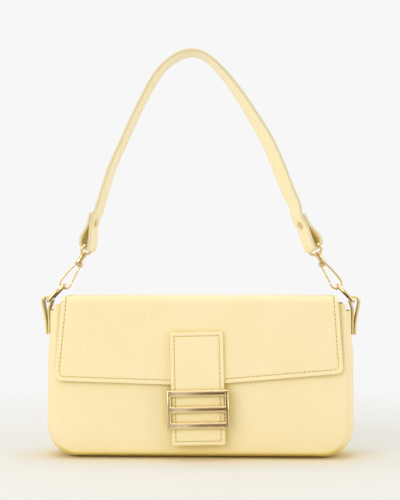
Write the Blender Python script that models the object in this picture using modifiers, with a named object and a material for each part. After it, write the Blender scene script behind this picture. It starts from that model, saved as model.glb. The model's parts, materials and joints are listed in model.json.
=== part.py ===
"""Leather flap bag with a short shoulder strap, snap hooks and a ladder buckle.

Metres, +X to the wearer's right in front view, the front faces -Y, +Z up. The origin is the
middle of the flat base.
"""

import math

import bmesh
import bpy
from mathutils import Matrix, Vector

# Clearances and general sizes
gap = 0.0003
cut_overrun = 0.002
weld_distance = 0.000001
corner_steps = 6
wire_resolution = 4

# Body
bag_width = 0.2710
panel_height = 0.1370
base_depth = 0.0580
mouth_depth = 0.0470
panel_thickness = 0.0020
crown = 0.0055
panel_corner = 0.0225
gusset_drop = 0.0065
gusset_thickness = 0.0020
seam_allowance = 0.0010
board_thickness = 0.0020
board_margin = 0.0030
lining_thickness = 0.0006
lining_drop = 0.0020
washer_thickness = 0.0008

# Slip pocket on the back lining
pocket_width = 0.1200
pocket_height = 0.0760
pocket_room = 0.0066
pocket_wall = 0.0010
pocket_drop = 0.0260

# Flap
flap_leather = 0.0020
flap_rise = 0.0065
flap_shoulder = 0.0050
flap_top_inset = 0.0130
flap_foot_inset = 0.0077
flap_side_share = 0.4818
flap_point_drop = 0.0075
flap_corner = 0.0060
flap_lining_margin = 0.0025
flap_skew = math.radians(1.6)
flap_drift = 0.0029
hem_drop = 0.0260

# Clasp: stitched tab, ladder buckle and magnet
tab_width = 0.0469
tab_length_share = 0.7263
tab_thickness = 0.0028
tab_centre_share = 0.4569
tab_shift = -0.0015
clasp_skew = math.radians(1.3)
buckle_width = 0.0542
buckle_height = 0.0343
buckle_bar_height = 0.0062
buckle_bar_thickness = 0.0030
buckle_upright_depth = 0.0062
buckle_bevel = 0.0008
buckle_trim_share = 0.25
buckle_drop = 0.0181
buckle_bars = 3
magnet_radius = 0.0090
magnet_thickness = 0.0013
stud_radius = 0.0075

# Ring tabs and D-rings
ring_tab_width = 0.0160
ring_tab_thickness = 0.0018
ring_tab_length = 0.0350
ring_wire = 0.0014
ring_length = 0.0199
ring_lean = math.radians(46.4)
ring_bar_out = 0.0018
ring_bar_rise = 0.0083
ring_bend = 0.0025

# Snap hooks
hook_wire = 0.00100
link_gap = 0.0007
hook_lean = math.radians(32.6)
hook_bow_radius = 0.0049
hook_length = 0.0288
nose_angle = math.radians(24)
bow_end_angle = math.radians(12)
shoulder_width = 0.0068
shoulder_depth = 0.0048
shoulder_length = 0.0050
knuckle_offset = 0.0030
knuckle_drop = 0.0033
knuckle_radius = 0.0017
knuckle_width = 0.0018
gate_wire = 0.00085
gate_pin_radius = 0.00045
barrel_radius = 0.0026
barrel_length = 0.0045
stem_radius = 0.0011
stem_head_radius = 0.0020
stem_head_thickness = 0.0011
stem_head_flat_share = 0.7
waist_share = 0.8
waist_span_share = 0.1
gate_root_share = 0.7

# Swivel eyes
collar_radius = 0.0030
collar_length = 0.0033
eye_wire = 0.0012
eye_height = 0.0074
eye_leg = 0.0055
eye_bend_share = 1.5
eye_tilt_left = math.radians(14)
eye_tilt_right = math.radians(25)

# Strap
strap_width = 0.0200
strap_thickness = 0.0026
strap_rise = 0.1786
strap_fold = 0.0295
strap_bulge = 0.0032
strap_lean_left = math.radians(12)
strap_lean_right = math.radians(27)
strap_tilt_top = math.radians(7)
strap_back_lean = 0.0040
arch_steps = 72
fold_steps = 44
fold_clear_share = 1.04
blend_share = 0.12
rivet_share = 0.75
rivet_cap_radius = 0.0033
rivet_cap_thickness = 0.0010
rivet_shank_radius = 0.0012
rivet_flat_share = 0.7
rivet_edge_share = 0.6

# Share across the gusset's depth, and share of the crown there
crown_shares = [
    (-1, 0),
    (-0.93, 0.42),
    (-0.82, 0.76),
    (-0.64, 1),
    (0.64, 1),
    (0.82, 0.76),
    (0.93, 0.42),
    (1, 0),
]
# The strap's arch: share of the half span between the eyes, share of the rise
arch_shares = [
    (-0.920, 0.168),
    (-0.856, 0.288),
    (-0.790, 0.409),
    (-0.692, 0.530),
    (-0.598, 0.652),
    (-0.518, 0.743),
    (-0.437, 0.833),
    (-0.360, 0.898),
    (-0.240, 0.960),
    (-0.060, 0.997),
    (0.075, 0.955),
    (0.228, 0.864),
    (0.380, 0.743),
    (0.478, 0.652),
    (0.577, 0.561),
    (0.652, 0.470),
    (0.715, 0.379),
    (0.776, 0.288),
    (0.840, 0.212),
]
# The ring tab's loop round the ring's bar, outward and up from the bar, in shares of the loop's reach
ring_loop_shares = [(-1.02, -0.1), (-0.75, 0.85), (0.35, 1.5), (1.6, 1.0), (2.1, -0.3), (1.75, -2.3)]
ring_tab_foot_share = 0.62
ring_tab_flat_share = 0.30
ring_tab_return_share = 0.35
# The fold round the eye's bar. The return leaf: share of its bulge and share of the way up to the rivet
leaf_shares = [(0, 1), (0.55, 0.62), (1, 0.30)]
leaf_foot_share = 0.30
# Under the bar, outward and up in shares of the wrap's radius
wrap_shares = [(0.78, -0.80), (0, -1.04), (-0.74, -0.74), (-1.02, 0)]
# The inner leaf: share of the wrap's radius inward and share of the way up to the rivet
inner_leaf_shares = [(-0.95, 0.25), (-0.45, 0.65), (0, 1)]
leaf_joint_share = 0.63

# Heights and depths that follow
half_width = bag_width / 2
gusset_height = panel_height - gusset_drop
flap_top_width = bag_width - 2 * flap_top_inset
flap_foot_width = bag_width - 2 * flap_foot_inset
flap_side_drop = panel_height * flap_side_share
tab_length = panel_height * tab_length_share
tab_centre_height = panel_height * tab_centre_share
panel_half = half_width - crown
lean = math.atan((base_depth - mouth_depth) / 2 / panel_height)
front_foot = Vector((0, -base_depth / 2, 0))
flap_top_height = panel_height + flap_rise
flap_layer = gap + magnet_thickness
flap_outside = flap_layer + lining_thickness + gap + flap_leather
tab_layer = flap_outside + gap
hinge_height = flap_top_height - flap_shoulder - gap
ring_bar = Vector((half_width + ring_bar_out, 0, gusset_height + ring_bar_rise))
ring_half = ring_tab_width / 2 + gap + ring_wire + gap
ring_tip = ring_bar + ring_length * Vector((-math.cos(ring_lean), 0, math.sin(ring_lean)))
hook_up = Vector((-math.sin(hook_lean), 0, math.cos(hook_lean)))
hook_foot = ring_tip - (ring_wire + hook_wire + link_gap) * hook_up
barrel_top = hook_length + barrel_length
collar_low = barrel_top + gap
collar_high = collar_low + collar_length
head_low = collar_high + gap
eye_bar = collar_high + eye_height
bar_place = hook_foot + eye_bar * hook_up
leaf_step = strap_thickness + gap
wrap_radius = eye_wire + gap + strap_thickness / 2

for thing in list(bpy.data.objects):
    bpy.data.objects.remove(thing)

parts = bpy.data.collections.new("crossbody_bag")
bpy.context.scene.collection.children.link(parts)
cutters = bpy.data.collections.new("cutters")
bpy.context.scene.collection.children.link(cutters)


def make_material(name, colour, roughness, metallic=0.0):
    """A Principled material with one colour, roughness and metallic value."""
    made = bpy.data.materials.new(name)
    made.use_nodes = True
    shader = made.node_tree.nodes["Principled BSDF"]
    shader.inputs["Base Color"].default_value = (*colour, 1)
    shader.inputs["Roughness"].default_value = roughness
    shader.inputs["Metallic"].default_value = metallic
    return made


leather_colour = (0.93, 0.80, 0.47)
lining_colour = (0.78, 0.68, 0.45)
gold_colour = (0.83, 0.66, 0.36)
board_colour = (0.35, 0.33, 0.30)


def leather(name):
    return make_material(name, leather_colour, 0.5)


def cloth(name):
    return make_material(name, lining_colour, 0.85)


def gold(name):
    return make_material(name, gold_colour, 0.18, 1.0)


def add_object(name, data, material, matrix=None, collection=None):
    """Adds one object with its material to the bag, or to the cutters."""
    made = bpy.data.objects.new(name, data)
    (collection or parts).objects.link(made)
    made.matrix_world = matrix or Matrix()
    if material:
        data.materials.clear()
        data.materials.append(material)
    return made


def add_axis(name, matrix):
    """An empty on a joint's axis, which its moving pieces are parented to."""
    made = bpy.data.objects.new(name, None)
    made.empty_display_size = strap_width
    parts.objects.link(made)
    made.matrix_world = matrix
    return made


def hang(piece, axis):
    """Parents a piece to an axis and leaves it where it is."""
    place = piece.matrix_world.copy()
    piece.parent = axis
    piece.matrix_parent_inverse = axis.matrix_world.inverted()
    piece.matrix_world = place


def mesh_object(name, shape, material, matrix=None, collection=None):
    """Writes a bmesh to a new object."""
    data = bpy.data.meshes.new(name)
    bmesh.ops.recalc_face_normals(shape, faces=shape.faces)
    shape.to_mesh(data)
    shape.free()
    return add_object(name, data, material, matrix, collection)


def box(name, low, high, material, matrix=None, collection=None, bevel=0.0):
    """A box between two corners, made from a primitive cube, with rounded edges on request."""
    shape = bmesh.new()
    bmesh.ops.create_cube(shape, size=1)
    size = Vector(high) - Vector(low)
    middle = (Vector(high) + Vector(low)) / 2
    place = Matrix.Translation(middle) @ Matrix.Diagonal((*size, 1))
    bmesh.ops.transform(shape, matrix=place, verts=shape.verts)
    if bevel:
        bmesh.ops.bevel(shape, geom=shape.edges, offset=bevel, segments=1, affect="EDGES")
    return mesh_object(name, shape, material, matrix, collection)


def turned(name, profile, material, matrix=None, collection=None, steps=20):
    """A solid of revolution about local Z, from a profile of (radius, height) run top to bottom."""
    data = bpy.data.meshes.new(name)
    points = [(radius, 0, height) for radius, height in profile]
    data.from_pydata(points, [(i, i + 1) for i in range(len(points) - 1)], [])
    made = add_object(name, data, material, matrix, collection)
    screw = made.modifiers.new("turn", "SCREW")
    screw.steps = steps
    screw.render_steps = steps
    screw.use_merge_vertices = True
    screw.merge_threshold = weld_distance
    return made


def rod(name, radius, low, high, material, matrix=None, collection=None, steps=16):
    """A cylinder about local Z."""
    profile = [(0, high), (radius, high), (radius, low), (0, low)]
    return turned(name, profile, material, matrix, collection, steps)


def sheet(name, outline, low, high, material, matrix):
    """A flat piece: an outline in local X and Y, between two heights along local Z."""
    data = bpy.data.curves.new(name, "CURVE")
    data.dimensions = "2D"
    data.fill_mode = "BOTH"
    data.extrude = (high - low) / 2
    line = data.splines.new("POLY")
    line.points.add(len(outline) - 1)
    for point, place in zip(line.points, outline):
        point.co = (place[0], place[1], 0, 1)
    line.use_cyclic_u = True
    return add_object(name, data, material, matrix @ Matrix.Translation((0, 0, (low + high) / 2)))


def wire(name, points, radius, material, matrix=None, closed=False):
    """A round wire along points, with closed ends, or a closed ring."""
    data = bpy.data.curves.new(name, "CURVE")
    data.dimensions = "3D"
    data.bevel_depth = radius
    data.bevel_resolution = wire_resolution
    data.use_fill_caps = True
    line = data.splines.new("POLY")
    line.points.add(len(points) - 1)
    for point, place in zip(line.points, points):
        point.co = (*place, 1)
    line.use_cyclic_u = closed
    return add_object(name, data, material, matrix)


def as_mesh(piece):
    """Replaces a curve by its welded mesh, so that it can be cut or joined."""
    bpy.context.view_layer.update()
    evaluated = piece.evaluated_get(bpy.context.evaluated_depsgraph_get())
    data = bpy.data.meshes.new_from_object(evaluated)
    shape = bmesh.new()
    shape.from_mesh(data)
    bmesh.ops.remove_doubles(shape, verts=shape.verts, dist=weld_distance)
    bmesh.ops.recalc_face_normals(shape, faces=shape.faces)
    shape.to_mesh(data)
    shape.free()
    name = piece.name
    matrix = piece.matrix_world.copy()
    collection = piece.users_collection[0]
    bpy.data.objects.remove(piece)
    return add_object(name, data, data.materials[0] if data.materials else None, matrix, collection)


def combine(piece, other, operation):
    """Joins another solid to a piece, or cuts it away, and keeps the other as a hidden guide."""
    change = piece.modifiers.new(operation.lower() + "_" + other.name, "BOOLEAN")
    change.operation = operation
    change.object = other
    other.hide_render = True
    other.display_type = "WIRE"
    for collection in list(other.users_collection):
        collection.objects.unlink(other)
    cutters.objects.link(other)


def shell(name, rows, thickness, material, side=0.0, matrix=None):
    """A sheet lofted through rows of points and thickened: side 0 on both sides, -1 or 1 on one."""
    shape = bmesh.new()
    grid = [[shape.verts.new(point) for point in row] for row in rows]
    for first, second in zip(grid, grid[1:]):
        for i in range(len(first) - 1):
            shape.faces.new((first[i], first[i + 1], second[i + 1], second[i]))
    data = bpy.data.meshes.new(name)
    shape.to_mesh(data)
    shape.free()
    made = add_object(name, data, material, matrix)
    thick = made.modifiers.new("leather", "SOLIDIFY")
    thick.thickness = thickness
    thick.offset = side
    thick.use_even_offset = True
    return made


def arc(centre, radius, start, end, steps):
    """Points on an arc in a plane, ends included."""
    return [
        (
            centre[0] + radius * math.cos(start + (end - start) * i / steps),
            centre[1] + radius * math.sin(start + (end - start) * i / steps),
        )
        for i in range(steps + 1)
    ]


def spline(points, steps):
    """Points on a smooth curve through the given ones, evenly spaced, ends included."""
    ghost = [2 * points[0] - points[1], *points, 2 * points[-1] - points[-2]]
    dense = []
    for a, b, c, d in zip(ghost, ghost[1:], ghost[2:], ghost[3:]):
        for i in range(12):
            t = i / 12
            square = (2 * a - 5 * b + 4 * c - d) * t**2
            cube = (3 * b - a - 3 * c + d) * t**3
            dense.append((2 * b + (c - a) * t + square + cube) / 2)
    dense.append(points[-1])
    return even(dense, steps)


def even(line, steps):
    """The same line, with points at equal distances along it."""
    lengths = [0.0]
    for a, b in zip(line, line[1:]):
        lengths.append(lengths[-1] + (b - a).length)
    found = []
    k = 0
    for i in range(steps + 1):
        wanted = lengths[-1] * i / steps
        while k < len(line) - 2 and lengths[k + 1] < wanted:
            k += 1
        share = (wanted - lengths[k]) / (lengths[k + 1] - lengths[k])
        found.append(line[k].lerp(line[k + 1], share))
    return found


def rounded(corners, radii, steps=corner_steps):
    """An outline with each corner rounded by an arc-like curve of its own radius."""
    found = []
    count = len(corners)
    for i in range(count):
        here = Vector(corners[i])
        if not radii[i]:
            found.append(tuple(here))
            continue
        before = (Vector(corners[i - 1]) - here).normalized()
        after = (Vector(corners[(i + 1) % count]) - here).normalized()
        half_angle = before.angle(after) / 2
        reach = radii[i] / math.tan(half_angle)
        centre = here + (before + after).normalized() * radii[i] / math.sin(half_angle)
        first = here + before * reach - centre
        last = here + after * reach - centre
        sweep = math.atan2(first.x * last.y - first.y * last.x, first.dot(last))
        start = math.atan2(first.y, first.x)
        found += arc(centre, radii[i], start, start + sweep, steps)
    return found


def plane_matrix(side):
    """Local X across the bag, Y up the panel, Z outward. Side -1 is the front and 1 the back."""
    front = Matrix.Translation(front_foot) @ Matrix.Rotation(math.pi / 2 - lean, 4, "X")
    return front if side < 0 else Matrix.Rotation(math.pi, 4, "Z") @ front


front_plane = plane_matrix(-1)
back_plane = plane_matrix(1)
clasp_place = (
    front_plane @ Matrix.Translation((tab_shift, tab_centre_height, 0)) @ Matrix.Rotation(clasp_skew, 4, "Z")
)


def half_depth(height, inward):
    """Half the bag's depth at a height, to a face that lies a distance inside the panel's outside."""
    return base_depth / 2 - height * math.tan(lean) - inward / math.cos(lean)


def panel_outline(half, low, high, corner):
    corners = [(-half, high), (-half, low), (half, low), (half, high)]
    return rounded(corners, [0, corner, corner, 0], 2 * corner_steps)


def u_path(half, low, high, corner):
    """Left side, bottom and right side of the bag, as points with their outward directions."""
    turn = 2 * corner_steps
    left = arc((-half + corner, low + corner), corner, math.pi, 1.5 * math.pi, turn)
    right = arc((half - corner, low + corner), corner, 1.5 * math.pi, 2 * math.pi, turn)
    out_left = arc((0, 0), 1, math.pi, 1.5 * math.pi, turn)
    out_right = arc((0, 0), 1, 1.5 * math.pi, 2 * math.pi, turn)
    places = [(-half, high), *left, *right, (half, high)]
    outward = [(-1, 0), *out_left, *out_right, (1, 0)]
    return list(zip(places, outward))


def strip_rows(inset, rise, inward, high):
    """Rows of the gusset or its lining: across the bag's depth, crowned outward, along the U."""
    path = u_path(panel_half - seam_allowance - inset, crown + rise, high, panel_corner - seam_allowance)
    rows = []
    for (x, z), (out_x, out_z) in path:
        row = []
        for across, share in crown_shares:
            bulge = crown * share + seam_allowance * (share if out_z == 0 else 0)
            reach = half_depth(z, inward)
            row.append((x + out_x * bulge, across * reach, z + out_z * bulge))
        rows.append(row)
    return rows


def make_body():
    panel = panel_outline(panel_half, crown - seam_allowance, panel_height, panel_corner)
    sheet("front_panel", panel, -panel_thickness, 0, leather("front_leather"), front_plane)
    sheet("back_panel", panel, -panel_thickness, 0, leather("back_leather"), back_plane)

    rows = strip_rows(0, 0, panel_thickness + gap, gusset_height)
    shell("gusset", rows, gusset_thickness, leather("gusset_leather"), -1)

    board_half = panel_half - panel_corner - board_margin
    board_depth = half_depth(crown, panel_thickness) * crown_shares[4][0] - board_margin
    board_low = gusset_thickness + gap
    board_high = board_low + board_thickness
    board_corners = [
        (-board_half, -board_depth),
        (board_half, -board_depth),
        (board_half, board_depth),
        (-board_half, board_depth),
    ]
    board = rounded(board_corners, [board_margin] * 4)
    sheet("base_board", board, board_low, board_high, make_material("board", board_colour, 0.8), Matrix())

    inset = gusset_thickness + gap
    rise = board_high + gap
    face = panel_thickness + gap + washer_thickness + gap
    front_in = face + lining_thickness
    lining_half = panel_half - inset - crown - 2 * gap
    lining = panel_outline(lining_half, rise + crown, panel_height - lining_drop, panel_corner)
    sheet("lining_front", lining, -front_in, -face, cloth("lining_front"), front_plane)
    sheet("lining_back", lining, -front_in, -face, cloth("lining_back"), back_plane)
    rows = strip_rows(inset, rise, front_in + gap, gusset_height - lining_drop)
    shell("lining_gusset", rows, lining_thickness, cloth("lining_side"), -1)

    pocket_high = panel_height - pocket_drop
    pocket_low = pocket_high - pocket_height
    pocket_face = -front_in - gap
    low = (-pocket_width / 2, pocket_low, pocket_face - pocket_room - pocket_wall)
    high = (pocket_width / 2, pocket_high, pocket_face)
    pocket = box("slip_pocket", low, high, cloth("pocket_cloth"), back_plane)
    room_low = (low[0] + pocket_wall, low[1] + pocket_wall, low[2] + pocket_wall)
    room_high = (high[0] - pocket_wall, high[1] + cut_overrun, high[2] + cut_overrun)
    combine(pocket, box("pocket_room", room_low, room_high, None, back_plane), "DIFFERENCE")

    magnet = clasp_place @ Matrix.Translation((0, -buckle_drop, 0))
    rod("magnet_socket", magnet_radius, gap, flap_layer, gold("socket_metal"), magnet, steps=24)
    washer_high = -panel_thickness - gap
    washer_low = washer_high - washer_thickness
    rod("magnet_washer", magnet_radius, washer_low, washer_high, gold("washer_metal"), magnet)


def flap_section():
    """The flap top's line from the front hinge over the mouth to the back hinge, in Y and Z."""
    outside = flap_outside - flap_leather / 2
    low = hinge_height + gap
    reach = half_depth(low, 0) + outside
    radius = flap_shoulder - flap_leather / 2
    high = flap_top_height - flap_leather / 2
    front = arc((-reach + radius, high - radius), radius, math.pi, math.pi / 2, corner_steps)
    back = arc((reach - radius, high - radius), radius, math.pi / 2, 0, corner_steps)
    return front + back


def make_flap():
    rows = [[(-flap_top_width / 2, y, z), (flap_top_width / 2, y, z)] for y, z in flap_section()]
    top = shell("flap_top", rows, flap_leather, leather("flap_top_leather"))
    hinge = (0, half_depth(hinge_height, 0) + flap_outside, hinge_height)
    top_axis = add_axis("flap_top_axis", Matrix.Translation(hinge))
    hang(top, top_axis)

    high = (hinge_height - flap_outside * math.sin(lean)) / math.cos(lean) - gap
    hem_layer = flap_outside - flap_leather
    hem_half = flap_top_width / 2
    hem_corners = [
        (-hem_half, high - hem_drop),
        (hem_half, high - hem_drop),
        (hem_half, high),
        (-hem_half, high),
    ]
    hem = rounded(hem_corners, [flap_corner, flap_corner, 0, 0])
    sheet("flap_hem", hem, gap, flap_outside, leather("hem_leather"), back_plane)

    foot = flap_foot_width / 2
    drop = foot * math.sin(flap_skew)
    shift = flap_side_drop * math.sin(flap_skew) - flap_drift
    corners = [
        (-flap_top_width / 2, high),
        (-foot + shift, high - flap_side_drop - drop),
        (tab_shift, high - flap_side_drop - flap_point_drop),
        (foot + shift, high - flap_side_drop + drop),
        (flap_top_width / 2, high),
    ]
    outline = rounded(corners, [0, flap_corner, 0, flap_corner, 0])
    front = sheet("flap_front", outline, hem_layer, flap_outside, leather("flap_leather"), front_plane)
    margin = flap_lining_margin
    inner_corners = [
        (-flap_top_width / 2 + margin, high),
        (-foot + shift + margin, high - flap_side_drop - drop + margin),
        (tab_shift, high - flap_side_drop - flap_point_drop + margin),
        (foot + shift - margin, high - flap_side_drop + drop + margin),
        (flap_top_width / 2 - margin, high),
    ]
    inner = rounded(inner_corners, [0, flap_corner - margin, 0, flap_corner - margin, 0])
    lining_high = hem_layer - gap
    lining_low = lining_high - lining_thickness
    lining = sheet("flap_lining", inner, lining_low, lining_high, cloth("flap_cloth"), front_plane)
    axis = front_plane @ Matrix.Translation((0, high + gap, flap_outside + gap))
    front_axis = add_axis("flap_front_axis", axis)
    front_axis.parent = top_axis
    front_axis.matrix_parent_inverse = top_axis.matrix_world.inverted()
    front_axis.matrix_world = axis
    for piece in (front, lining, *make_clasp()):
        hang(piece, front_axis)


def make_clasp():
    """The stitched tab, its ladder buckle and the magnet behind it."""
    half = tab_width / 2
    tall = tab_length / 2
    corners = [(-half, -tall), (half, -tall), (half, tall), (-half, tall)]
    outline = rounded(corners, [seam_allowance] * 4, 2)
    tab_high = tab_layer + tab_thickness
    tab = sheet("clasp_tab", outline, tab_layer, tab_high, leather("tab_leather"), clasp_place)

    upright = buckle_width / 2 - half - gap
    side_low = tab_layer
    bar_low = tab_high + gap
    bar_high = bar_low + buckle_bar_thickness
    side_high = side_low + buckle_upright_depth
    step = (buckle_height - buckle_bar_height) / (buckle_bars - 1)
    foot = -buckle_drop - buckle_height / 2
    metal = gold("buckle_metal")
    outer = buckle_width / 2
    edge = buckle_height / 2
    buckle = box(
        "buckle_frame",
        (-outer, -buckle_drop - edge, side_low),
        (-outer + upright, -buckle_drop + edge, side_high),
        metal,
        clasp_place,
        bevel=buckle_bevel,
    )
    second = box(
        "second_upright",
        (outer - upright, -buckle_drop - edge, side_low),
        (outer, -buckle_drop + edge, side_high),
        None,
        clasp_place,
        bevel=buckle_bevel,
    )
    reach = outer - upright / 2
    for i in range(buckle_bars):
        low = foot + i * step
        # The outer bars are a little lower than the uprights' ends, so that no two faces coincide.
        trim = buckle_bevel * buckle_trim_share
        bar = box(
            f"buckle_bar_{i}",
            (-reach, low + trim, bar_low),
            (reach, low + buckle_bar_height - trim, bar_high),
            None,
            clasp_place,
            bevel=buckle_bevel,
        )
        combine(buckle, bar, "UNION")
    combine(buckle, second, "UNION")

    magnet = clasp_place @ Matrix.Translation((0, -buckle_drop, 0))
    stud_low = flap_layer + gap
    stud_high = tab_layer - gap
    stud = rod("magnet_stud", stud_radius, stud_low, stud_high, gold("stud_metal"), magnet, steps=24)
    return tab, buckle, stud


def mirror_side(side):
    """World matrix of one side of the bag: left is -1. The right side is the left one turned."""
    return Matrix() if side < 0 else Matrix.Rotation(math.pi, 4, "Z")


def left_side(point):
    """A point given for the right half, on the left one."""
    return Vector((-point.x, point.y, point.z))


def make_ring_tab(name, side):
    """A leather strip folded over the ring's bar, both leaves flat on the gusset."""
    inner_x = half_width + gap + ring_tab_thickness / 2
    outer_x = inner_x + ring_tab_thickness + gap
    foot = gusset_height - ring_tab_length * ring_tab_foot_share
    flat = foot + ring_tab_length * ring_tab_flat_share
    reach = ring_wire + gap + ring_tab_thickness / 2
    points = [(inner_x, foot), (inner_x, flat), (inner_x + gap, gusset_height + gap)]
    points += [(ring_bar.x + reach * out, ring_bar.z + reach * up) for out, up in ring_loop_shares]
    points += [(outer_x + ring_tab_thickness * ring_tab_return_share, flat), (outer_x, foot)]
    line = spline([Vector((-x, 0, z)) for x, z in points], 40)
    half = ring_tab_width / 2
    rows = [[(p.x, -half, p.z), (p.x, half, p.z)] for p in line]
    return shell(name, rows, ring_tab_thickness, leather(name + "_leather"), matrix=mirror_side(side))


def make_ring(name, side):
    """A D-ring: straight bar in the tab, two legs and a half-round end. Local X runs up the ring."""
    bend = ring_bend
    path = arc((bend, -ring_half + bend), bend, math.pi, 1.5 * math.pi, 4)
    path += arc((ring_length - ring_half, 0), ring_half, 1.5 * math.pi, 2.5 * math.pi, 18)
    path += arc((bend, ring_half - bend), bend, math.pi / 2, math.pi, 4)
    place = mirror_side(side) @ Matrix.Translation(left_side(ring_bar)) @ Matrix.Rotation(-ring_lean, 4, "Y")
    ring = wire(name, [(x, y, 0) for x, y in path], ring_wire, gold(name + "_metal"), place, closed=True)
    return ring


def hook_matrix(side):
    """Local Z runs up the hook from its foot, and local X points to the middle of the bag."""
    return mirror_side(side) @ Matrix.Translation(left_side(hook_foot)) @ Matrix.Rotation(hook_lean, 4, "Y")


def make_hook(side_name, side):
    place = hook_matrix(side)
    metal = gold("hook_metal_" + side_name)
    bow = hook_bow_radius
    curve = arc((0, bow), bow, nose_angle, -math.pi - bow_end_angle, 20)
    path = [Vector((x, 0, z)) for x, z in curve]
    top = Vector((-stem_radius, 0, hook_length - shoulder_length / 2))
    last = path[-1]
    path += spline([last, last.lerp(top, 0.5) + Vector((-hook_wire / 2, 0, 0)), top], 8)[1:]
    frame = as_mesh(wire("hook_" + side_name, path, hook_wire, metal, place))

    shoulder_low = hook_length - shoulder_length
    shoulder = box(
        "shoulder_" + side_name,
        (-shoulder_width / 3, -shoulder_depth / 2, shoulder_low),
        (shoulder_width * 2 / 3, shoulder_depth / 2, hook_length),
        None,
        place,
        bevel=hook_wire / 2,
    )
    combine(frame, shoulder, "UNION")
    slot_half = knuckle_width / 2 + gap
    knuckle_height = hook_length - knuckle_drop
    slot = box(
        "shoulder_slot_" + side_name,
        (knuckle_offset - knuckle_radius - gap, -slot_half, shoulder_low - cut_overrun),
        (shoulder_width, slot_half, knuckle_height + knuckle_radius + gap),
        None,
        place,
    )
    combine(frame, slot, "DIFFERENCE")
    crosswise = Matrix.Rotation(math.pi / 2, 4, "X")
    knuckle = place @ Matrix.Translation((knuckle_offset, 0, knuckle_height)) @ crosswise
    reach = shoulder_depth / 2 + cut_overrun
    hole = rod("ear_holes_" + side_name, gate_pin_radius + gap, -reach, reach, None, knuckle, steps=12)
    combine(frame, hole, "DIFFERENCE")
    top = head_low + stem_head_thickness
    waist = hook_length + barrel_length / 2
    waist_span = barrel_length * waist_span_share
    barrel_foot = hook_length - shoulder_length / 4
    profile = [
        (0, top),
        (stem_head_radius * stem_head_flat_share, top),
        (stem_head_radius, top - stem_head_thickness / 3),
        (stem_head_radius, head_low),
        (stem_radius, head_low),
        (stem_radius, barrel_top),
        (barrel_radius, barrel_top),
        (barrel_radius, waist + waist_span),
        (barrel_radius * waist_share, waist),
        (barrel_radius, waist - waist_span),
        (barrel_radius, barrel_foot),
        (0, barrel_foot),
    ]
    barrel = turned("barrel_" + side_name, profile, None, place, steps=16)
    combine(frame, barrel, "UNION")

    pin_half = shoulder_depth / 2
    pin_metal = gold("pin_metal_" + side_name)
    pin_name = "gate_pin_" + side_name
    pin = rod(pin_name, gate_pin_radius, -pin_half, pin_half, pin_metal, knuckle, steps=12)

    nose = Vector((bow * math.cos(nose_angle), 0, bow + bow * math.sin(nose_angle)))
    start = Vector((knuckle_offset, 0, knuckle_height))
    along = (nose - start).normalized()
    end = nose - along * (hook_wire + gap)
    gate_path = even([start + along * knuckle_radius * gate_root_share, end], 3)
    gate_metal = gold("gate_metal_" + side_name)
    gate = as_mesh(wire("hook_gate_" + side_name, gate_path, gate_wire, gate_metal, place))
    half = knuckle_width / 2
    combine(gate, rod("knuckle_" + side_name, knuckle_radius, -half, half, None, knuckle), "UNION")
    bore = rod("knuckle_bore_" + side_name, gate_pin_radius + gap, -reach, reach, None, knuckle, steps=12)
    combine(gate, bore, "DIFFERENCE")
    return frame, pin, gate, knuckle


def make_eye(side_name, side, tilt):
    """The swivel eye: a collar round the hook's stem and a bow that the strap is folded over."""
    place = hook_matrix(side) @ Matrix.Rotation(tilt, 4, "Z")
    half = strap_width / 2 + 2 * gap + eye_wire
    leg_foot = eye_bar - eye_leg
    joint = collar_radius - stem_radius / 2
    middle = (collar_low + collar_high) / 2
    corners = [
        (-joint, middle),
        (-half, leg_foot),
        (-half, eye_bar),
        (half, eye_bar),
        (half, leg_foot),
        (joint, middle),
    ]
    bend = eye_wire * eye_bend_share
    path = [(0, y, z) for y, z in rounded(corners, [0, bend, bend, bend, bend, 0], 4)]
    eye = as_mesh(wire("swivel_eye_" + side_name, path, eye_wire, gold("eye_metal_" + side_name), place))
    collar = rod("collar_" + side_name, collar_radius, collar_low, collar_high, None, place, steps=20)
    combine(eye, collar, "UNION")
    bore_radius = stem_radius + gap
    bore = rod("collar_bore_" + side_name, bore_radius, collar_low - cut_overrun, collar_high, None, place)
    combine(eye, bore, "DIFFERENCE")
    head_room = stem_head_radius + gap
    room_low = collar_high - gap / 3
    room_high = eye_bar - 2 * eye_wire
    room = rod("head_room_" + side_name, head_room, room_low, room_high, None, place)
    combine(eye, room, "DIFFERENCE")
    return eye


class StrapEnd:
    """The strap's fold round one eye's bar: its origin and its directions up, outward and across."""

    def __init__(self, side, tilt, strap_lean):
        frame = (hook_matrix(side) @ Matrix.Rotation(tilt, 4, "Z")).to_3x3()
        self.across = frame @ Vector((0, -side, 0))
        self.origin = Vector((side * bar_place.x, 0, bar_place.z))
        up = Vector((-side * math.sin(strap_lean), 0, math.cos(strap_lean)))
        up -= up.dot(self.across) * self.across
        self.up = up.normalized()
        out = self.across.cross(self.up)
        self.out = out if out.x * side > 0 else -out
        self.rivet = strap_fold * rivet_share

    def at(self, out, up):
        return self.origin + out * self.out + up * self.up

    def line(self):
        """From the return leaf's end, down and round the bar, and up to the fold's top."""
        wrap = wrap_radius
        flat = strap_fold * leaf_joint_share
        bulge = wrap + strap_bulge
        outer = [self.at(leaf_step, strap_fold)]
        outer += [self.at(leaf_step + (bulge - leaf_step) * out, flat * up) for out, up in leaf_shares]
        outer += [self.at(bulge - strap_bulge * leaf_foot_share, 0)]
        foot = [self.at(wrap * out, wrap * up) for out, up in wrap_shares]
        inner = [self.at(wrap * out, flat * up) for out, up in inner_leaf_shares]
        return outer + foot + inner + [self.at(0, strap_fold)]


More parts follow.
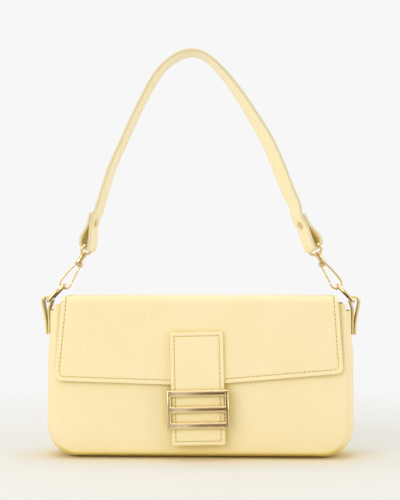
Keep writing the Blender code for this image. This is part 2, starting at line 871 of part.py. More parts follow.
def make_strap(left, right):
    half_span = bar_place.x
    arch = [
        Vector((x * half_span, strap_back_lean * math.sin(math.pi * z / 2), bar_place.z + z * strap_rise))
        for x, z in arch_shares
    ]
    first = left.line()
    second = list(reversed(right.line()))
    head = spline(first, fold_steps)
    tail = spline(second, fold_steps)
    clear = strap_fold * fold_clear_share
    middle = spline([first[-2], first[-1], *arch, second[0], second[1]], arch_steps)
    keep = [p for p in middle if (p - left.origin).dot(left.up) > clear or p.x > -half_span / 2]
    keep = [p for p in keep if (p - right.origin).dot(right.up) > clear or p.x < half_span / 2]
    line = head + keep + tail
    rows = []
    start = len(head)
    for i, point in enumerate(line):
        if i < start:
            across = left.across
        elif i >= start + len(keep):
            across = right.across
        else:
            share = (i - start + 1) / (len(keep) + 1)
            tilt = tilt_at(share)
            along = (line[i + 1] - line[i - 1]).normalized()
            inward = Vector((along.z, 0, -along.x)).normalized()
            across = Vector((0, math.cos(tilt), 0)) + math.sin(tilt) * inward
            blend = min(1, share / blend_share, (1 - share) / blend_share)
            end = left.across if share < 0.5 else right.across
            across = end.lerp(across, blend)
            across = (across - across.dot(along) * along).normalized()
        half = across * strap_width / 2
        rows.append([point - half, point + half])
    strap = shell("shoulder_strap", rows, strap_thickness, leather("strap_leather"))
    return strap


def tilt_at(share):
    """The ribbon's tilt along the arch, from the left end's to the top's and to the right end's."""
    if share < 0.5:
        return eye_tilt_left + (strap_tilt_top - eye_tilt_left) * math.sin(math.pi * share)
    return eye_tilt_right + (strap_tilt_top - eye_tilt_right) * math.sin(math.pi * share)


def make_rivet(side_name, end, strap):
    """A rivet through both leaves of the fold, with a flat cap on each face."""
    across = end.across
    along = end.up
    axis = across.cross(along)
    if axis.dot(end.out) < 0:
        across = -across
        axis = -axis
    turn = Matrix((across, along, axis)).transposed().to_4x4()
    place = Matrix.Translation(end.at(0, end.rivet)) @ turn
    face = strap_thickness / 2 + gap
    low = -face - rivet_cap_thickness
    high = leaf_step + face + rivet_cap_thickness
    cap = rivet_cap_radius
    edge = rivet_cap_thickness * rivet_edge_share
    profile = [
        (0, high),
        (cap * rivet_flat_share, high),
        (cap, high - edge),
        (cap, high - rivet_cap_thickness),
        (rivet_shank_radius, high - rivet_cap_thickness),
        (rivet_shank_radius, low + rivet_cap_thickness),
        (cap, low + rivet_cap_thickness),
        (cap, low + edge),
        (cap * rivet_flat_share, low),
        (0, low),
    ]
    rivet = turned("strap_rivet_" + side_name, profile, gold("rivet_metal_" + side_name), place, steps=16)
    hole_low = low - cut_overrun
    hole_high = high + cut_overrun
    hole = rod("rivet_hole_" + side_name, rivet_shank_radius + gap, hole_low, hole_high, None, place)
    combine(strap, hole, "DIFFERENCE")
    return rivet


def make_carrying_parts():
    left = StrapEnd(-1, -eye_tilt_left, strap_lean_left)
    right = StrapEnd(1, eye_tilt_right, strap_lean_right)
    strap = make_strap(left, right)
    swing = add_axis("strap_axis", Matrix.Translation((0, 0, hook_foot.z)))
    hang(strap, swing)
    sides = (("left", -1, -eye_tilt_left, left), ("right", 1, eye_tilt_right, right))
    for side_name, side, tilt, end in sides:
        make_ring_tab("ring_tab_" + side_name, side)
        ring = make_ring("dring_" + side_name, side)
        ring_axis = add_axis("dring_axis_" + side_name, Matrix.Translation((side * ring_bar.x, 0, ring_bar.z)))
        hang(ring, ring_axis)
        hang(make_rivet(side_name, end, strap), swing)
        eye = make_eye(side_name, side, tilt)
        eye_axis = add_axis("eye_axis_" + side_name, Matrix.Translation(end.origin))
        hang(eye_axis, swing)
        hang(eye, eye_axis)
        frame, pin, gate, knuckle = make_hook(side_name, side)
        hook_axis = add_axis("hook_axis_" + side_name, hook_matrix(side))
        hang(hook_axis, eye_axis)
        hang(frame, hook_axis)
        hang(pin, hook_axis)
        gate_axis = add_axis("gate_axis_" + side_name, knuckle)
        hang(gate_axis, hook_axis)
        hang(gate, gate_axis)


make_body()
make_flap()
make_carrying_parts()
bpy.context.view_layer.update()
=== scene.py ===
"""Looks of a butter-yellow leather flap bag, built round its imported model.

Metres, in the model's own frame: +X along the bag, +Y to the back, +Z up, base on Z 0.
"""

import json
from math import acos, atan, atan2, cos, hypot, pi, radians, sin, sqrt, tan

import bpy
import numpy as np
from mathutils import Matrix, Vector


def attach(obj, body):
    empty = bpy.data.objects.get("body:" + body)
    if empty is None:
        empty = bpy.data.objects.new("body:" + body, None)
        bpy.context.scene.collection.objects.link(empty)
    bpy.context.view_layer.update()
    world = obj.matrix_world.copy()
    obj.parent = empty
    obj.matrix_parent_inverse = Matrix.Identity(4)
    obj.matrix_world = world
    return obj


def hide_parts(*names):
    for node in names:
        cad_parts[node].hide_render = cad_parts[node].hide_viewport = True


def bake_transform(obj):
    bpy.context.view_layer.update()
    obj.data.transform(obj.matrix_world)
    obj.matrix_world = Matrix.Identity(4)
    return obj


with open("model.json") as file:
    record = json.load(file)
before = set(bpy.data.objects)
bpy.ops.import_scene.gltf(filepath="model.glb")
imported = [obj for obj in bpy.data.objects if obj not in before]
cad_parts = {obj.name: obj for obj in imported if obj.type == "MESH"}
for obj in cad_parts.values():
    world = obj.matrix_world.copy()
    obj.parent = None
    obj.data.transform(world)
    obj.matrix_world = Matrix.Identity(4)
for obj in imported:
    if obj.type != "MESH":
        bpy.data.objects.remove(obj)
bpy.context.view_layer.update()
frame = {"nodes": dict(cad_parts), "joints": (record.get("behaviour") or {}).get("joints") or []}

mm = 0.001

# Body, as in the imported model
base_depth = 58 * mm
mouth_depth = 47 * mm
panel_height = 137 * mm
panel_half = 130 * mm
panel_foot = 4.5 * mm
panel_corner = 22.5 * mm
panel_thickness = 2 * mm
panel_roll = 4 * mm
panel_roll_share = 0.9
panel_puff = 0.7 * mm
puff_reach = 30 * mm
puff_fade = 50 * mm
panel_step = 3.2 * mm
lean = atan((base_depth - mouth_depth) / 2 / panel_height)

# Gusset
crown = 5.5 * mm
gusset_height = 130.5 * mm
gusset_thickness = 2 * mm
seam_allowance = 1 * mm
gusset_swell = 2 * mm
swell_top = 108 * mm
swell_fade = 16 * mm
strip_step = 4 * mm
strip_inner_share = 0.2
gusset_half = panel_half - seam_allowance
gusset_corner = panel_corner - seam_allowance

# Flap
flap_inside = 2.5 * mm
flap_leather = 2 * mm
flap_height = 143.5 * mm
flap_shoulder = 5 * mm
flap_top_half = 122.5 * mm
flap_foot_half = 127.8 * mm
flap_side_drop = 66 * mm
flap_point_drop = 7.5 * mm
flap_corner = 6 * mm
flap_skew = radians(1.6)
flap_drift = 2.9 * mm
flap_roll = (0.9 * mm, 0.8 * mm)
flap_edge = 1.2 * mm
flap_steps = (2.6 * mm, 2 * mm)
flap_ripple = 0.16 * mm
front_run = 90 * mm
hem_drop = 26 * mm
hem_spare = 1 * mm
fold_steps = 10

# Clasp tab
tab_width = 46.9 * mm
tab_length = 99.5 * mm
tab_low = 4.8 * mm
tab_thickness = 2.8 * mm
tab_middle = 62.6 * mm
tab_shift = -1.5 * mm
tab_skew = radians(1.3)
tab_corner = 1.4 * mm
tab_inset = 3.6 * mm
tab_step = 1.6 * mm
tab_roll = (1.3 * mm, 1.2 * mm)
tab_back_roll = (0.8 * mm, 0.7 * mm)

# Stitching
stitch_pitch = 3.8 * mm
stitch_length = 2.4 * mm
stitch_radius = 0.36 * mm
stitch_inset = 4 * mm
stitch_slant = 0.16 * mm
stitch_heights = np.array([-0.30, -0.02, 0.14, 0.18, 0.14, -0.02, -0.30]) * mm
stitch_girths = np.array([0.45, 0.85, 1.0, 1.0, 1.0, 0.85, 0.45])
seam_corner_drop = 2 * mm
groove_depth = 0.40 * mm
groove_reach = 0.85 * mm
# Discs of painted shade at the needle holes: their radius, and their rings' sizes and heights
hole_radius = 0.85 * mm
hole_rings = ((1.0, -0.10 * mm), (0.75, 0.06 * mm), (0.30, 0.10 * mm))

# Buckle: how far its edges are rounded for the light, in its bars and its uprights
upright_width = 4 * mm
upright_rounding = 1 * mm
buckle_rounding = 2.9 * mm

# Lining and pocket
lining_thickness = 0.6 * mm
lining_drop = 2 * mm
lining_face = 3.4 * mm
lining_low = 10.1 * mm
pocket_half = 60 * mm
pocket_low = 35 * mm
pocket_high = 111 * mm
pocket_room = 6.6 * mm
pocket_wall = 1 * mm
pocket_hem = (4 * mm, 5 * mm)
lining_roll = (1.5 * mm, 0.2 * mm)
flap_lining_margin = 2.5 * mm
flap_lining_roll = (0.5 * mm, 0.25 * mm)
flap_lining_steps = (3.5 * mm, 3.5 * mm)

# Ring tabs
ring_tab_width = 16 * mm
ring_tab_thickness = 1.8 * mm
ring_tab_length = 35 * mm
ring_tab_foot_share = 0.62
ring_tab_flat_share = 0.30
ring_tab_return_share = 0.35
ring_tab_crease = 0.1 * mm
ring_bar_clear = 1.8 * mm
ring_loop_reach = 2.6 * mm
ring_loop_shares = [
    (-1.02, -0.1), (-0.75, 0.85), (0.35, 1.5), (1.6, 1.0), (2.1, -0.3), (1.75, -2.3)
]

# Strap
strap_width = 20 * mm
strap_thickness = 2.6 * mm
strap_rise = 178.6 * mm
strap_fold = 29.5 * mm
strap_bulge = 3.2 * mm
strap_leaf_step = 2.9 * mm
strap_wrap = 2.8 * mm
strap_lean = {"left": radians(12), "right": radians(27)}
strap_tilt = {"left": radians(11), "right": radians(36)}
strap_tilt_top = radians(9)
strap_tilt_soft = 0.1
strap_back_lean = 4 * mm
strap_crease = 0.16 * mm
leaf_shares = [(0, 1), (0.55, 0.62), (1, 0.30)]
leaf_foot_share = 0.30
wrap_shares = [(0.78, -0.80), (0, -1.04), (-0.74, -0.74), (-1.02, 0)]
inner_leaf_shares = [(-0.95, 0.25), (-0.45, 0.65), (0, 1)]
leaf_joint_share = 0.63
blend_share = 0.12
relax_reach = 11
relax_share = 0.18
fold_clear_share = 1.04
arch_shares = [
    (-0.920, 0.168), (-0.856, 0.288), (-0.790, 0.409), (-0.692, 0.530), (-0.598, 0.652),
    (-0.518, 0.743), (-0.437, 0.833), (-0.360, 0.898), (-0.240, 0.960), (-0.060, 0.997),
    (0.075, 0.955), (0.228, 0.864), (0.380, 0.743), (0.478, 0.652), (0.577, 0.561),
    (0.652, 0.470), (0.715, 0.379), (0.776, 0.288), (0.840, 0.212),
]

# A strip's painted edge, and where the crease line beside it starts, runs and ends
paint_width = 0.55 * mm
crease_start = 1.5 * mm
crease_line = 1.9 * mm
crease_end = 2.3 * mm

gap = 0.3 * mm
corner_steps = 16
halfway = corner_steps // 2

# Camera: the size of one pixel of the photo on the plane of the bag's middle
camera_yaw = radians(1.8)
camera_distance = 1.15
camera_pixel = 0.905 * mm
camera_sensor = 36.0
photo_height = 500
camera_aim = (-0.45 * mm, 0.0, 184.7 * mm)

# Edges sharper than this stay sharp
metal_sharp = radians(40)
leather_sharp = radians(50)
weld_reach = 0.000001

# Colours of the leather
butter = (0.945, 0.83, 0.535)
butter_shade = (0.93, 0.80, 0.485)
# Painted shade: a deeper yellow mixed into the leather in its hollows, for the shade and yellow
# bounce light there
butter_painted_shade = (0.87, 0.70, 0.21)
# Painted light: the strap's leather is a paler copy of the body's, for light its down-turned faces
# don't get
strap_lit_tone = (0.965, 0.865, 0.60)
strap_lit_second_tone = (0.95, 0.84, 0.55)
leather_roughness = 0.46
painted_shade_reach = 18 * mm
shading_samples = 6

# Light
world_level = 0.715
world_warm = (1.0, 0.94, 0.80)
key_power = 14.5
fill_power = 7.5
top_power = 10.5
lamp_tone = (1.0, 0.99, 0.97)
lamp_target = (0, 0, 0.12)

# Cards that the metal mirrors
card_dark = (0.12, 0.058, 0.012)
card_dim = (0.85, 0.76, 0.62)
card_near, card_far = -0.35, -1.0
card_table = 2 * mm
card_top = 0.10

# Paper
# Painted shadow: a warm tint mixed into the paper near the bag, for its contact shadow and yellow
# bounce light
paper_painted_shadow = (0.85, 0.75, 0.56)
floor_painted_shade_reach = 45 * mm
paper_tone = (0.77, 0.785, 0.81)
paper_shade = (0.755, 0.77, 0.795)
backdrop_tone = (0.93, 0.93, 0.93)
floor_radius = 9.0
floor_near = 0.20
floor_far = 0.60


# Materials


def new_material(name):
    made = bpy.data.materials.new(name)
    made.use_nodes = True
    tree = made.node_tree
    return made, tree, tree.nodes["Principled BSDF"]


def feed(socket, value):
    """Links an input to another node's output, or sets it to a plain value."""
    if isinstance(value, bpy.types.NodeSocket):
        socket.id_data.links.new(value, socket)
    else:
        socket.default_value = value


def feed_all(made, values):
    for key, value in values.items():
        feed(made.inputs[key], value)


def node(tree, kind, **values):
    """A node with the given properties and inputs."""
    made = tree.nodes.new("ShaderNode" + kind)
    for key, value in values.items():
        if key in made.inputs:
            feed(made.inputs[key], value)
        else:
            setattr(made, key, value)
    return made


def coordinates(tree, stretch=(1, 1, 1)):
    """Object coordinates, scaled by three numbers."""
    source = node(tree, "TexCoord")
    mapping = node(tree, "Mapping", Vector=source.outputs["Object"], Scale=stretch)
    return mapping.outputs["Vector"]


def noise(tree, place, scale, detail, distortion=0.0):
    values = {"Vector": place, "Scale": scale, "Detail": detail, "Distortion": distortion}
    return node(tree, "TexNoise", **values).outputs["Fac"]


def worked_out(tree, operation, *values):
    """The result of a math node."""
    made = node(tree, "Math", operation=operation)
    for socket, value in zip(made.inputs, values):
        feed(socket, value)
    return made.outputs["Value"]


def blended(tree, factor, first, second):
    """A colour between two, by a factor from another node."""
    mix = node(tree, "Mix", data_type="RGBA", Factor=factor)
    for socket, value in ((mix.inputs[6], first), (mix.inputs[7], second)):
        feed(socket, (*value, 1) if isinstance(value, tuple) else value)
    return mix.outputs[2]


def ranged(tree, value, low, high, new_low=0.0, new_high=1.0):
    values = {"From Min": low, "From Max": high, "To Min": new_low, "To Max": new_high}
    return node(tree, "MapRange", Value=value, **values).outputs["Result"]


def bump(tree, height, strength, distance, below=None):
    made = node(tree, "Bump", Height=height, Strength=strength, Distance=distance)
    if below:
        feed(made.inputs["Normal"], below)
    return made.outputs["Normal"]


def painted_shade_mask(tree, reach, low, high):
    """From 0 in a hollow to 1 where the surface lies open: it sets where shade is painted into a
    colour.
    """
    hollow = node(tree, "AmbientOcclusion", Distance=reach, samples=shading_samples)
    return ranged(tree, hollow.outputs["AO"], low, high)


def leather_material(name, colour, shade, creases=0.0, grain_level=1.0):
    """Soft calf: faint mottling, painted shade in hollows, pebbled grain, pores and, if asked,
    upright creases.
    """
    made, tree, shader = new_material(name)
    plain = coordinates(tree)
    clouds = noise(tree, plain, 22.0, 3.0)
    mottle = ranged(tree, noise(tree, plain, 420.0, 2.0), 0.3, 0.7, 0.0, 0.35)
    base = blended(tree, ranged(tree, clouds, 0.35, 0.65), colour, shade)
    base = blended(tree, mottle, base, shade)
    # Painted shade: the deeper yellow goes where the surface lies in a hollow
    base = blended(tree, painted_shade_mask(tree, painted_shade_reach, 0.30, 0.90), butter_painted_shade, base)
    pebbles = node(tree, "TexVoronoi", Vector=plain, Scale=950.0, feature="SMOOTH_F1")
    normal = bump(tree, pebbles.outputs["Distance"], 0.08 * grain_level, 0.00025)
    normal = bump(tree, noise(tree, plain, 3200.0, 2.0), 0.05 * grain_level, 0.0001, normal)
    normal = bump(tree, noise(tree, plain, 30.0, 2.0), 0.18 * grain_level, 0.002, normal)
    if creases:
        lines = noise(tree, coordinates(tree, (330, 60, 26)), 1.0, 3.0, 0.6)
        normal = bump(tree, ranged(tree, lines, 0.42, 0.58), creases, 0.0006, normal)
    low, high = leather_roughness - 0.04, leather_roughness + 0.06
    gloss = ranged(tree, clouds, 0.3, 0.7, low, high)
    feed_all(shader, {"Base Color": base, "Normal": normal, "Roughness": gloss})
    return made


def patterned(name, pattern, colour, shade, relief, roughness):
    """A surface whose colour and relief come from one pattern, and its gloss too if that varies."""
    made, tree, shader = new_material(name)
    level = pattern(tree)
    if isinstance(roughness, tuple):
        roughness = ranged(tree, level, 0.3, 0.7, *roughness)
    base = blended(tree, level, colour, shade)
    normal = bump(tree, level, *relief)
    feed_all(shader, {"Base Color": base, "Normal": normal, "Roughness": roughness})
    return made


def flecks(scale, detail):
    return lambda tree: noise(tree, coordinates(tree), scale, detail)


def wave(tree, place, **values):
    return node(tree, "TexWave", Vector=place, **values).outputs["Fac"]


def plies(tree):
    """Twisted thread's slanting plies."""
    return wave(tree, coordinates(tree), Scale=1400.0, Distortion=1.0)


def weave(tree):
    """Fine warp and weft ribs that cross."""
    place = coordinates(tree, (2600, 2600, 2600))
    ribs = [
        wave(tree, place, bands_direction=direction, Scale=1.0, Distortion=0.4)
        for direction in ("X", "Z")
    ]
    return worked_out(tree, "MULTIPLY", *ribs)


def paint_material(name, colour, shade):
    """Edge paint: smooth, a little glossy, slightly uneven."""
    return patterned(name, flecks(260.0, 3.0), colour, shade, (0.15, 0.0004), (0.3, 0.42))


def metal_material(name, colour, roughness, rounding=0.0, upright=None):
    """Polished plating with faint wipe marks, and edges rounded for the light alone.

    A frame's uprights may have a rounding of their own: upright is (middle, reach, rounding).
    """
    made, tree, shader = new_material(name)
    wipes = noise(tree, coordinates(tree, (900, 900, 60)), 1.0, 4.0)
    base = blended(tree, wipes, colour, tuple(0.95 * part for part in colour))
    gloss = ranged(tree, wipes, 0.3, 0.7, roughness * 0.8, roughness * 1.2)
    feed_all(shader, {"Base Color": base, "Roughness": gloss, "Metallic": 1.0})
    if not rounding:
        return made
    radius = rounding
    if upright:
        middle, reach, narrow = upright
        split = node(tree, "SeparateXYZ", Vector=coordinates(tree))
        offset = worked_out(tree, "SUBTRACT", split.outputs["X"], middle)
        side = worked_out(tree, "ABSOLUTE", offset)
        radius = ranged(tree, side, reach - gap, reach + gap, rounding, narrow)
    soft = node(tree, "Bevel", Radius=radius, samples=shading_samples)
    feed(shader.inputs["Normal"], soft.outputs["Normal"])
    return made


def buckle_uprights():
    """The middle of the buckle, where its uprights start beside it, and their edges' rounding."""
    across = [vertex.co.x for vertex in frame["nodes"]["buckle_frame"].data.vertices]
    low, high = min(across), max(across)
    return (low + high) / 2, (high - low) / 2 - upright_width, upright_rounding


leather_plain = leather_material("leather_plain", butter, butter_shade)
# The strap: finer grain, and colours painted paler for light
leather_strap = leather_material("leather_strap", strap_lit_tone, strap_lit_second_tone, grain_level=0.12)
leather_creased = leather_material("leather_creased", butter, butter_shade, creases=0.22)
edge_paint = paint_material("edge_paint", (0.75, 0.67, 0.44), (0.71, 0.62, 0.39))
tab_paint = paint_material("tab_paint", (0.86, 0.72, 0.36), (0.82, 0.67, 0.31))
thread_tones = ((0.88, 0.74, 0.26), (0.72, 0.56, 0.14))
thread = patterned("thread", plies, *thread_tones, (0.3, 0.0001), 0.6)
# Painted shade: the dark colour of the discs at the needle holes
painted_shade_at_holes = paint_material("needle_hole_painted_shade", (0.34, 0.25, 0.055), (0.15, 0.09, 0.02))
cloth_tones = ((0.74, 0.64, 0.40), (0.86, 0.76, 0.52))
lining_cloth = patterned("lining_cloth", weave, *cloth_tones, (0.35, 0.0002), 0.82)
pale_gold = metal_material("pale_gold", (0.84, 0.66, 0.36), 0.22)
buckle_gold = metal_material(
    "buckle_gold", (0.93, 0.76, 0.47), 0.10, buckle_rounding, buckle_uprights()
)
board_tones = ((0.30, 0.28, 0.25), (0.42, 0.40, 0.36))
board = patterned("base_board", flecks(900.0, 4.0), *board_tones, (0.2, 0.0002), 0.9)


# Lines and meshes


def add_object(name, data):
    made = bpy.data.objects.new(name, data)
    bpy.context.scene.collection.objects.link(made)
    return made


def add_mesh(name, vertices, faces, materials, indices=None):
    data = bpy.data.meshes.new(name)
    data.from_pydata([tuple(v) for v in vertices], [], [tuple(f) for f in faces])
    for material in materials:
        data.materials.append(material)
    if indices:
        data.polygons.foreach_set("material_index", indices)
    data.shade_smooth()
    data.set_sharp_from_angle(angle=leather_sharp)
    return add_object(name, data)


def unit(vectors):
    return vectors / np.linalg.norm(vectors, axis=-1, keepdims=True)


def circle(sides):
    """X and Y of points round a circle of radius 1."""
    around = np.linspace(0, 2 * pi, sides + 1)[:-1]
    return np.cos(around), np.sin(around)


def arc(centre, radius, start, end, steps):
    turn = np.linspace(start, end, steps + 1)
    return np.stack((centre[0] + radius * np.cos(turn), centre[1] + radius * np.sin(turn)), 1)


def run_along(line):
    """The distance along a line from its start to each of its points."""
    steps = np.linalg.norm(np.diff(line, axis=0), axis=1)
    return np.concatenate(([0.0], np.cumsum(steps)))


def read_at(wanted, run, values):
    """Rows of values, known at the distances in run, at the wanted distances."""
    return np.stack([np.interp(wanted, run, column) for column in values.T], 1)


def resampled(line, shares):
    """Points of a polyline at the given shares of its length."""
    line = np.asarray(line, float)
    run = run_along(line)
    return read_at(np.asarray(shares) * run[-1], run, line)


def length_of(line):
    return run_along(line)[-1]


def graded(line, edge, step, seam=0.0):
    """Shares along a line, dense in an edge zone at both ends and across a seam beside it."""
    length = length_of(line)
    near = edge * np.array([0.0, 0.06, 0.2, 0.42, 0.7, 1.0])
    if seam:
        near = np.concatenate((near, np.linspace(edge, seam + 2 * groove_reach, 13)[1:]))
    reach = near[-1]
    count = max(2, round((length - 2 * reach) / step))
    inner = np.linspace(reach, length - reach, count + 1)[1:-1]
    return np.concatenate((near, inner, length - near[::-1])) / length


def patch(bottom, top, left, right, across, up):
    """A Coons patch between four lines, at shares across and up. Returns rows of 2D points."""
    low, high = resampled(bottom, across)[None], resampled(top, across)[None]
    start, end = resampled(left, up)[:, None], resampled(right, up)[:, None]
    u = across[None, :, None]
    v = up[:, None, None]
    straight = (1 - v) * low + v * high + (1 - u) * start + u * end
    corners = (1 - u) * (1 - v) * low[:, :1] + u * (1 - v) * low[:, -1:]
    corners = corners + (1 - u) * v * high[:, :1] + u * v * high[:, -1:]
    return straight - corners


def distance_to(points, line):
    """Distance of each 2D point to a polyline."""
    flat = points.reshape(-1, 2)
    best = np.full(len(flat), np.inf)
    line = np.asarray(line, float)
    for a, b in zip(line, line[1:]):
        d = b - a
        span = max(float(d @ d), 1e-18)
        t = np.clip(((flat - a) @ d) / span, 0, 1)
        best = np.minimum(best, np.linalg.norm(flat - a - t[:, None] * d, axis=1))
    return best.reshape(points.shape[:-1])


def rolled(distance, reach, drop):
    """How far a surface falls towards an edge that is rolled over."""
    share = np.clip(distance / reach, 0, 1)
    return drop * (1 - np.sqrt(np.clip(1 - (1 - share) ** 2, 0, 1)))


def groove(flat, seam):
    """How far leather is drawn in along a row of stitches."""
    return groove_depth * np.exp(-((distance_to(flat, seam) / groove_reach) ** 2))


def closed_sheet(name, outer, inner, material):
    """A closed solid from two grids of 3D points of one shape: the outer and the inner face."""
    grid = np.arange(outer[..., 0].size).reshape(outer.shape[:2])
    corners = (grid[:-1, :-1], grid[:-1, 1:], grid[1:, 1:], grid[1:, :-1])
    quads = np.stack(corners, -1).reshape(-1, 4)
    rim = np.concatenate((grid[0], grid[1:, -1], grid[-1, -2::-1], grid[-2:0:-1, 0]))
    after = np.roll(rim, -1)
    both = np.stack((quads, grid.size + quads[:, ::-1]), 1).reshape(-1, 4)
    sides = np.stack((after, rim, grid.size + rim, grid.size + after), 1)
    vertices = np.concatenate((outer.reshape(-1, 3), inner.reshape(-1, 3)))
    return add_mesh(name, vertices, np.concatenate((both, sides)), [material])


def tube_faces(first, rings, sides):
    """The faces of a closed tube whose rings of vertices follow each other."""
    grid = first + np.arange(rings * sides).reshape(rings, sides)
    after = np.roll(grid, -1, axis=1)
    quads = np.stack((grid[:-1], after[:-1], after[1:], grid[1:]), -1)
    return [*quads.reshape(-1, 4), grid[0, ::-1], grid[-1]]


def dress(piece, body, material_slot, *nodes):
    """Sends a piece with a body, in the place of the named solids."""
    if nodes:
        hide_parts(*nodes)
    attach(piece, body)


# Panels and gusset


def plane_matrix(side):
    """Local X across the bag, Y up the panel, Z outward. Side -1 is the front and 1 the back."""
    turn = Matrix.Rotation(pi / 2 - lean, 4, "X")
    front = Matrix.Translation((0, -base_depth / 2, 0)) @ turn
    return front if side < 0 else Matrix.Rotation(pi, 4, "Z") @ front


def placed(matrix, flat, height):
    """3D points for a grid of 2D points in a plane, at a height over it."""
    local = np.concatenate((flat, height[..., None], np.ones(height.shape)[..., None]), -1)
    return (local @ np.array(matrix).T)[..., :3]


def half_depth(height, inward):
    """Half the bag's depth at a height, less a distance inward from its panels."""
    return base_depth / 2 - height * tan(lean) - inward / cos(lean)


def lower_arcs(half, low, corner, steps):
    """The round lower corners of an outline, left and right."""
    left = arc((-half + corner, low + corner), corner, pi, 1.5 * pi, steps)
    right = arc((half - corner, low + corner), corner, 1.5 * pi, 2 * pi, steps)
    return left, right


def joined_halves(first, second):
    """An outline's side, from the middle of one corner's arc to the middle of the next."""
    return np.concatenate((first[halfway:], second[: halfway + 1]))


def panel_lines(half, low, high, corner):
    """Bottom, top, left and right lines of a panel with two round lower corners."""
    left_arc, right_arc = lower_arcs(half, low, corner, corner_steps)
    top = np.array([(-half, high), (half, high)])
    left = np.concatenate((left_arc[halfway::-1], top[:1]))
    right = np.concatenate((right_arc[halfway:], top[1:]))
    return joined_halves(left_arc, right_arc), top, left, right


def panel_piece(name, side, outline, levels, roll, puff, material):
    """A body panel: rolled at its seams and puffed out a little between them.

    outline is (half, low, high, corner), levels (inside, outside) and roll (reach, drop).
    """
    bottom, top, left, right = panel_lines(*outline)
    across = graded(bottom, roll[0], panel_step)
    up = graded(left, roll[0], panel_step)
    flat = patch(bottom, top, left, right, across, up)
    distance = distance_to(flat, np.concatenate((left[::-1], bottom, right)))
    swell = np.sin(np.clip(distance / puff_reach, 0, 1) * pi / 2) ** 2
    fade = np.clip((outline[2] - flat[..., 1]) / puff_fade, 0, 1)
    inside, outside = levels
    rise = outside - rolled(distance, *roll) + puff * swell * fade
    place = plane_matrix(side)
    outer = placed(place, flat, rise)
    inner = placed(place, flat, np.full(rise.shape, inside))
    return closed_sheet(name, outer, inner, material)


def strip_line(half, low, high, corner):
    """The line round the sides and bottom at even steps, and its outward directions."""
    left, right = lower_arcs(half, low, corner, 14)
    line = np.concatenate(([(-half, high)], left, right, [(half, high)]))
    turn = np.linspace(0, pi / 2, 15)
    to_left = np.stack((-np.cos(turn), -np.sin(turn)), 1)
    to_right = np.stack((np.sin(turn), -np.cos(turn)), 1)
    out = np.concatenate(([(-1, 0)], to_left, to_right, [(1, 0)]))
    run = run_along(line)
    wanted = [
        np.linspace(a, b, max(1, round((b - a) / strip_step)) + 1)[:-1]
        for a, b in zip(run, run[1:])
    ]
    wanted = np.concatenate([*wanted, run[-1:]])
    return read_at(wanted, run, line), unit(read_at(wanted, run, out))


def strip_piece(name, outline, inward, thickness, swell_reach, material):
    """The strip round the sides and bottom: crowned outward between the panels."""
    line, out = strip_line(*outline)
    (x, z), (ox, oz) = line.T[..., None], out.T[..., None]
    across = np.sin(np.linspace(-pi / 2, pi / 2, 33))
    share = (1 - np.abs(across) ** 3.2) ** 0.8
    swell = swell_reach * np.clip((swell_top - z) / swell_fade, 0, 1)
    full = crown + abs(ox) * (seam_allowance + swell)
    grids = []
    for depth in (0.0, thickness):
        rise = full * share - depth
        y = across * (half_depth(z, inward) - depth * strip_inner_share)
        grids.append(np.stack((x + ox * rise, y, z + oz * rise), -1))
    return closed_sheet(name, *grids, material)


def make_body():
    outline = (panel_half, panel_foot, panel_height, panel_corner)
    roll = (panel_roll, panel_thickness * panel_roll_share)
    levels = (-panel_thickness, 0.0)
    for node_name, side in (("front_panel", -1), ("back_panel", 1)):
        name = node_name.replace("panel", "leather")
        piece = panel_piece(name, side, outline, levels, roll, panel_puff, leather_plain)
        dress(piece, "bag_body", "leather", node_name)
    outline = (gusset_half, crown, gusset_height, gusset_corner)
    inward = panel_thickness + gap
    gusset = strip_piece(
        "gusset_leather", outline, inward, gusset_thickness, gusset_swell, leather_plain
    )
    dress(gusset, "bag_body", "leather", "gusset")


# Flap, as one leather laid over the mouth


def flap_section():
    """The flap's outer line in Y and Z, from the hem at the back over the mouth to the front."""
    shoulder = flap_height - flap_shoulder
    reach = half_depth(shoulder, 0) + flap_inside + flap_leather - flap_shoulder
    front_arc = arc((-reach, shoulder), flap_shoulder, pi / 2, pi, fold_steps)
    back_arc = arc((reach, shoulder), flap_shoulder, 0, pi / 2, fold_steps)
    down = np.array([sin(lean), -cos(lean)])
    front_foot = front_arc[-1] + down * (-1, 1) * front_run
    back_foot = back_arc[0] + down * (hem_drop + hem_spare)
    return np.concatenate(([back_foot], back_arc, front_arc, [front_foot]))


section = flap_section()
section_run = run_along(section)
section_front = section_run[-2]
section_middle = (section_run[fold_steps + 1] + section_run[fold_steps + 2]) / 2


def flap_point(flat, rise):
    """3D points over the outer face for unrolled flap points (x, minus the run along it)."""
    run = -flat[..., 1]
    small = 0.4 * mm
    (y, z), ahead, behind = (
        [np.interp(at, section_run, section[:, k]) for k in (0, 1)]
        for at in (run, run + small, run - small)
    )
    dy, dz = ahead[0] - behind[0], ahead[1] - behind[1]
    size = np.sqrt(dy**2 + dz**2)
    return np.stack((flat[..., 0], y + dz / size * rise, z - dy / size * rise), -1)


def corner_arc(before, corner, after, radius):
    """An arc of a radius in place of a corner."""
    a, b = unit(before - corner), unit(after - corner)
    half = acos(float(np.clip(a @ b, -1, 1))) / 2
    centre = corner + unit(a + b) * radius / sin(half)
    first = corner + a * radius / tan(half) - centre
    last = corner + b * radius / tan(half) - centre
    start = atan2(first[1], first[0])
    sweep = atan2(first[0] * last[1] - first[1] * last[0], first @ last)
    return arc(centre, radius, start, start + sweep, corner_steps)


def inset_line(corners, distance):
    """An open polyline moved to its left by a distance, corner by corner."""
    ahead = unit(np.diff(corners, axis=0))
    side = np.stack((-ahead[:, 1], ahead[:, 0]), 1)
    before, after = np.concatenate((side[:1], side)), np.concatenate((side, side[-1:]))
    return corners + (before + after) * distance / (1 + (before * after).sum(1))[:, None]


